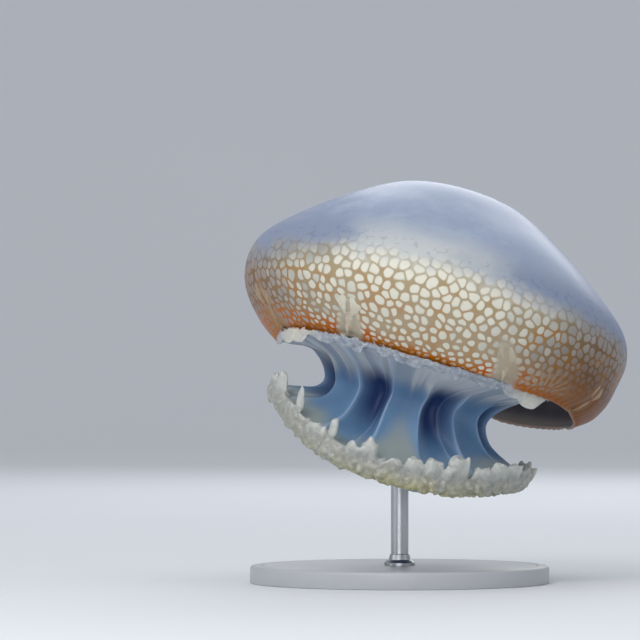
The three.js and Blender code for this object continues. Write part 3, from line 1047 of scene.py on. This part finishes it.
ruffEdge = {
    "radius": 61.6,
    "middle": 10.2,
    "band": (0.7, 1.6),
    "voxel": 0.45,
    "smoothing": 1,
    "steps": 480,
    "knobs": 300,
    "knobSize": (0.6, 1.3),
    "lobes": 130,
    "lobeSize": ((3, 11), (0.8, 1.3), (2.5, 5.5)),  # width, thickness and height
    "lobeSet": ((-0.3, 0.3), (-0.1, 0.3), (0.7, 1.1)),  # turn askew, lean and taper
    "foot": -9,  # its marks' heights start this far under its middle
    # angle, width and height of the broad lobes at both ends of the front
    "broad": [(-38, 17, 10), (-48, 15, 7), (-28, 12, 6), (-151, 15, 6), (-160, 13, 6), (-172, 10, 4)],
    "glow": [(math.radians(-38), 40), (math.radians(-154), 30)],  # where it is whitest
}


def ruffPlace(angle, outward, height):
    out, lift = ruffRim(angle)
    return onArms(angle, ruffEdge["radius"] + out + outward, ruffEdge["middle"] + lift + height)


def makeRuffEdge():
    rng = random.Random(11)

    def ragged(angle, outward, height):
        swell = 0.6 + 0.9 * abs(noise.noise(Vector((math.cos(angle) * 12, math.sin(angle) * 12, 5))))
        return ruffPlace(angle, outward * swell, height * swell)

    mesh = bandRing(*ruffEdge["band"], ruffEdge["steps"], ragged)
    for k in range(ruffEdge["lobes"]):
        angle = turn * (k + rng.uniform(-0.4, 0.4)) / ruffEdge["lobes"]
        size = tuple(rng.uniform(*span) for span in ruffEdge["lobeSize"])
        place = ruffPlace(angle, rng.uniform(-1.3, -0.4), rng.uniform(0.2, 1.4) - size[2])
        askew, lean, taper = (rng.uniform(*span) for span in ruffEdge["lobeSet"])
        addBlob(mesh, place, angle + askew, size, lean, taper, 0.5, k)
    for degrees, width, tall in ruffEdge["broad"]:
        angle, size = math.radians(degrees), (width, 1.8, tall)
        addBlob(mesh, ruffPlace(angle, -0.8, 1.6 - tall), angle, size, 0.1, 1.5, 0.5, width + tall, 0.7)
    for k in range(ruffEdge["knobs"]):
        angle = rng.uniform(0, turn)
        size = rng.uniform(*ruffEdge["knobSize"])
        place = ruffPlace(angle, rng.uniform(-0.8, 0.9), rng.uniform(-0.6, 2))
        addBlob(mesh, place, angle, (size, size, size), 0, 0.9, 0.3, k)
    mesh = melt(mesh, ruffEdge["voxel"], ruffEdge["smoothing"])
    foot = ruffEdge["middle"] + ruffEdge["foot"]
    addFrill("ruffFrill", "ruff", mesh, ruffEdge, lambda angle: foot + ruffRim(angle)[1])


makeRuffEdge()

organ = {
    "reach": 0.25,  # how far their shapes sink into the bell's skin
    # each shape: sideways place, height above the free edge, lift off the skin, its width, height and
    # thickness, its lean sideways in the surface and how much it narrows downwards
    "petals": [(-3.4, 18.4, 0.4, 8, 13.5, 1.3, -0.3, 0.75), (3.8, 17, 0.4, 11.5, 12.5, 1.3, 0.5, 0.75)],
    "sunk": {0: 0.42, 1: 0.34},  # those that lie deeper in the flesh than the rest
    "hazy": 0,  # the one that shows only hazily
    "stalk": (0.1, 8.5, 0.15, 4.4, 13, 1.1, 0.05, 0.1),
    "finger": (-1, 4.2, 0.8, 2, 7, 1.7, -0.1, 0.3),
    "fluting": (0.12, 8),  # depth in thicknesses, and how closely its ridges stand
    "voxel": 0.3,
    "smoothing": 4,
}
organPaint = {
    "petal": tint(206, 202, 184),
    "low": tint(182, 168, 146),
    "tip": tint(214, 212, 198),
    "side": tint(136, 98, 50),
    "haze": tint(178, 164, 138),
}


@functools.cache
def riseToOutline(rise):
    # The outline's row whose surface is this far above the free edge, between rows.
    for i in range(edgeRing, 0, -1):
        if bellRise[i - 1] >= rise:
            share = (rise - bellRise[i]) / (bellRise[i - 1] - bellRise[i])
            return bellRows[i].lerp(bellRows[i - 1], share), bellOutwards[i].lerp(bellOutwards[i - 1], share)
    return bellRows[0], bellOutwards[0]


def onBellSkin(k, side, rise, lift):
    angle = organAngle(k)
    row, outward = riseToOutline(round(max(rise, 0), 3))
    radius = row.x + lift * outward.x
    side += organShift(k, max(rise, 0))
    height = row.y + lift * outward.y + min(rise, 0) - frontFall(angle, max(rise, 0))
    return onBell(angle + side / row.x, radius, height)


def addPetal(mesh, k, shape):
    side, rise, lift, width, tall, thick, lean, narrow = shape
    depth, closeness = organ["fluting"]
    deep = organ["reach"] + bell["depth"] + bell["niche"]["depth"] + organ["sunk"].get(k, 0)
    ball = bmesh.new()
    bmesh.ops.create_uvsphere(ball, u_segments=24, v_segments=14, radius=1)
    bmesh.ops.rotate(ball, verts=ball.verts, matrix=Matrix.Rotation(turn / 4, 3, "X"))
    for point in ball.verts:
        x, z, y = point.co
        slim = (1 - narrow * smooth(-y, -1, 1)) * (1 + 0.5 * max(0, y))
        fluting = depth * math.sin(closeness * x) * (1 - abs(y))
        x, y, z = x * width / 2 * slim, y * tall / 2, (z + fluting) * thick / 2 * (1 - 0.3 * abs(y))
        x, y = x * math.cos(lean) + y * math.sin(lean), y * math.cos(lean) - x * math.sin(lean)
        point.co = onBellSkin(k, side + x, rise + y, lift + z - deep)
    ball.to_mesh(blobData)
    ball.free()
    mesh.from_mesh(blobData)


def organFinish():
    tree = Tree("organJelly")
    height = tree.mark("rise")
    cloud = tree.noise(260, 3, 0.6)
    skin = tree.blend((height + cloud * 6).rise(10, 18), organPaint["low"], organPaint["petal"])
    skin = tree.blend(cloud.rise(0.5, 0.75) * 0.6, skin, organPaint["tip"])
    # organs on the flanks, away from the painted light, take a darker brown: painted shade
    skin = tree.blend(tree.mark("paintedLight").rise(0.6, 0.3) * 0.85, skin, organPaint["side"])
    skin = tree.blend(tree.mark("haze") * 0.75, skin, organPaint["haze"])
    look = {
        "Subsurface Weight": 0.6,
        "Subsurface Radius": (1, 0.95, 0.85),
        "Subsurface Scale": 2 * millimetre,
        "Coat Weight": 0.4,
        "Coat Roughness": 0.15,
    }
    return tree.finish(skin, cloud * 0.1 + 0.4, cloud, 0.06, look)


def makeOrgans():
    finish = organFinish()
    edgeRadius = bell["margin"][-1][0]
    for k in range(bell["octants"]):
        mesh = bmesh.new()
        angle = organAngle(k)
        for shape in (*organ["petals"], organ["stalk"], organ["finger"]):
            addPetal(mesh, k, shape)
        mesh = melt(mesh, organ["voxel"], organ["smoothing"])
        rise, paintedLight, haze = (mesh.verts.layers.float.new(name) for name in ("rise", "paintedLight", "haze"))
        for point in mesh.verts:
            point[paintedLight] = paintedLightAt(angle)
            point[haze] = k == organ["hazy"]
            above = unbank(point.co)[2] - bellToRolled(angle, edgeRadius, 0)[2]
            point[rise] = above / math.cos(pose["pitch"])
        addPiece(f"senseOrgan_{k + 1}", mesh, finish, [f"rhopalium_{k + 1}"])


makeOrgans()

stand = {
    "radius": 68,
    "thickness": 8,
    "bevel": 1.5,
    "groove": (5, 0.4),  # how far from the rim the fine groove in the top runs, and its depth
    "rodRadius": 4,
    "collarRadius": 7,
    "collarHeight": 5,
    "sharpFrom": math.radians(35),  # edges that turn by more than this stay sharp
    "enamel": tint(176, 178, 182),
    "steel": tint(186, 188, 192),
}


def quarterArc(x, z, radius, start, steps):
    # Points of a quarter circle round x and z, from an angle anticlockwise.
    angles = [start + turn / 4 * i / steps for i in range(steps + 1)]
    return [(x + radius * math.cos(a), z + radius * math.sin(a)) for a in angles]


def lathed(name, outline, steps, finish, node, place):
    # Turns an outline of radius and height, from axis to axis, and puts its points by place.
    mesh = spunLine(outline, turn, steps)
    for point in mesh.verts:
        point.co = place(point.co)
    closeSkin(mesh)
    piece = addPiece(name, mesh, finish, [node])
    piece.data.set_sharp_from_angle(angle=stand["sharpFrom"])


def standFinishes():
    enamel = Tree("standEnamel")
    cloud = enamel.noise(60, 3, 0.6)
    orangePeel = enamel.noise(1500, 2)
    coat = enamel.blend(cloud, stand["enamel"], tuple(0.94 * c for c in stand["enamel"]))
    look = {"Coat Weight": 0.2, "Coat Roughness": 0.25}
    enamelled = enamel.finish(coat, cloud * 0.08 + 0.36, orangePeel, 0.03, look)
    steel = Tree("standSteel")
    stretched = steel.vector("MULTIPLY", steel.place(), (1, 1, 0.02))
    brushed = steel.noise(2600, 3, 0.7, stretched)
    metal = steel.blend(brushed, stand["steel"], tuple(0.82 * c for c in stand["steel"]))
    return enamelled, steel.finish(metal, brushed * 0.2 + 0.22, brushed, 0.02, {"Metallic": 1.0})


def makeStand():
    enamelled, brushed = standFinishes()
    radius, thickness, bevel = stand["radius"], stand["thickness"], stand["bevel"]
    inset, cut = stand["groove"]
    inset = radius - inset
    foot = [(0, 0), (radius - 0.6, 0), (radius - 0.18, 0.18), (radius, 0.6)]
    arc = quarterArc(radius - bevel, thickness - bevel, bevel, 0, 6)
    groove = [(inset, thickness), (inset - cut, thickness - cut), (inset - 2 * cut, thickness)]
    outline = foot + arc + groove + [(0, thickness)]
    lathed("standBase", outline, 128, enamelled, "stand_base", lambda co: co * millimetre)

    rod, collar, collarTop, top = stand["rodRadius"], stand["collarRadius"], stand["collarHeight"], 100
    socket = [(0, 0.05), (collar, 0.05), (collar, 1.2), (collar - 0.8, 2), (rod + 1, 2.6)]
    socket += [(rod + 0.4, collarTop), (rod, collarTop + 0.2)]
    shaft = socket + [(rod, 30), (rod, 60), (rod, top), (0, top)]
    low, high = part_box("stand_rod")
    middle = (low + high) / 2

    def place(co):
        x, y, z = co * millimetre
        z += thickness * millimetre
        if co.z > top - 1:  # its end slants with the animal's roll and reaches as high as its solid
            z = high.z - (x + rod * millimetre) * math.tan(pose["roll"])
        return Vector((middle.x + x, middle.y + y, z))

    lathed("standRod", shaft, 64, brushed, "stand_rod", place)


makeStand()

studio = {
    "lens": 300,
    "sensor": 36,
    "eye": (-36.2, -2425, 119.5),
    "bowl": (4000, 1500, 1600),  # the floor's radius, the bend up into its wall, and the wall's height
    "paper": (tint(222, 226, 231), tint(226, 229, 234)),
    "air": ((0.94, 0.96, 1, 1), 0.52),
    # each lamp's place, target, size, power and colour
    "lamps": {
        "key": ((-380, -880, 880), (10, 0, 120), 500, 4.6, (1, 0.97, 0.92)),
        "low": ((-150, -1300, 160), (20, 0, 70), 700, 4.2, (0.98, 0.99, 1)),
        "fillRight": ((1400, -700, 500), (20, 0, 110), 900, 1.1, (0.9, 0.95, 1)),
        "fillLeft": ((-1400, -500, 500), (20, 0, 110), 900, 2.6, (0.9, 0.95, 1)),
        "back": ((300, 1400, 900), (20, 0, 110), 900, 5, (0.95, 0.97, 1)),
        "overhead": ((0, 0, 3200), (0, 0, 0), 3000, 15, (0.97, 0.98, 1)),
    },
}


def addHolder(name, data, place):
    holder = bpy.data.objects.new(name, data)
    holder.location = Vector(place) * millimetre
    bpy.context.scene.collection.objects.link(holder)
    return holder


def makeFloor():
    radius, bend, top = studio["bowl"]
    outline = [(0, 0)] + quarterArc(radius - bend, bend, bend, -turn / 4, 16) + [(radius, top)]
    mesh = spunLine(outline, turn, 96)
    bmesh.ops.scale(mesh, verts=mesh.verts, vec=(millimetre, millimetre, millimetre))
    closeSkin(mesh)
    tree = Tree("studioPaper")
    paper = tree.noise(3, 2)
    finish = tree.finish(tree.blend(paper, *studio["paper"]), 0.9, paper, 0.01, {"Specular IOR Level": 0.1})
    addObject("studioFloor", mesh, finish)


def makeLamps():
    for name, (place, target, size, power, colour) in studio["lamps"].items():
        lamp = bpy.data.lights.new(name, "AREA")
        lamp.size = size * millimetre
        lamp.energy = power
        lamp.color = colour
        holder = addHolder(name, lamp, place)
        holder.visible_camera = False
        holder.rotation_euler = (Vector(target) - Vector(place)).to_track_quat("-Z", "Y").to_euler()
    world = bpy.data.worlds.new("studioAir")
    world.use_nodes = True
    for socket, value in zip(world.node_tree.nodes["Background"].inputs, studio["air"]):
        socket.default_value = value
    bpy.context.scene.world = world
    print("studio has", len(studio["lamps"]), "lamps")


def makeCamera():
    camera = bpy.data.cameras.new("camera")
    camera.lens = studio["lens"]
    camera.sensor_width = studio["sensor"]
    holder = addHolder("camera", camera, studio["eye"])
    holder.rotation_euler = (turn / 4, 0, 0)
    bpy.context.scene.camera = holder
    bpy.context.scene.view_settings.view_transform = "Standard"


makeFloor()
makeLamps()
makeCamera()
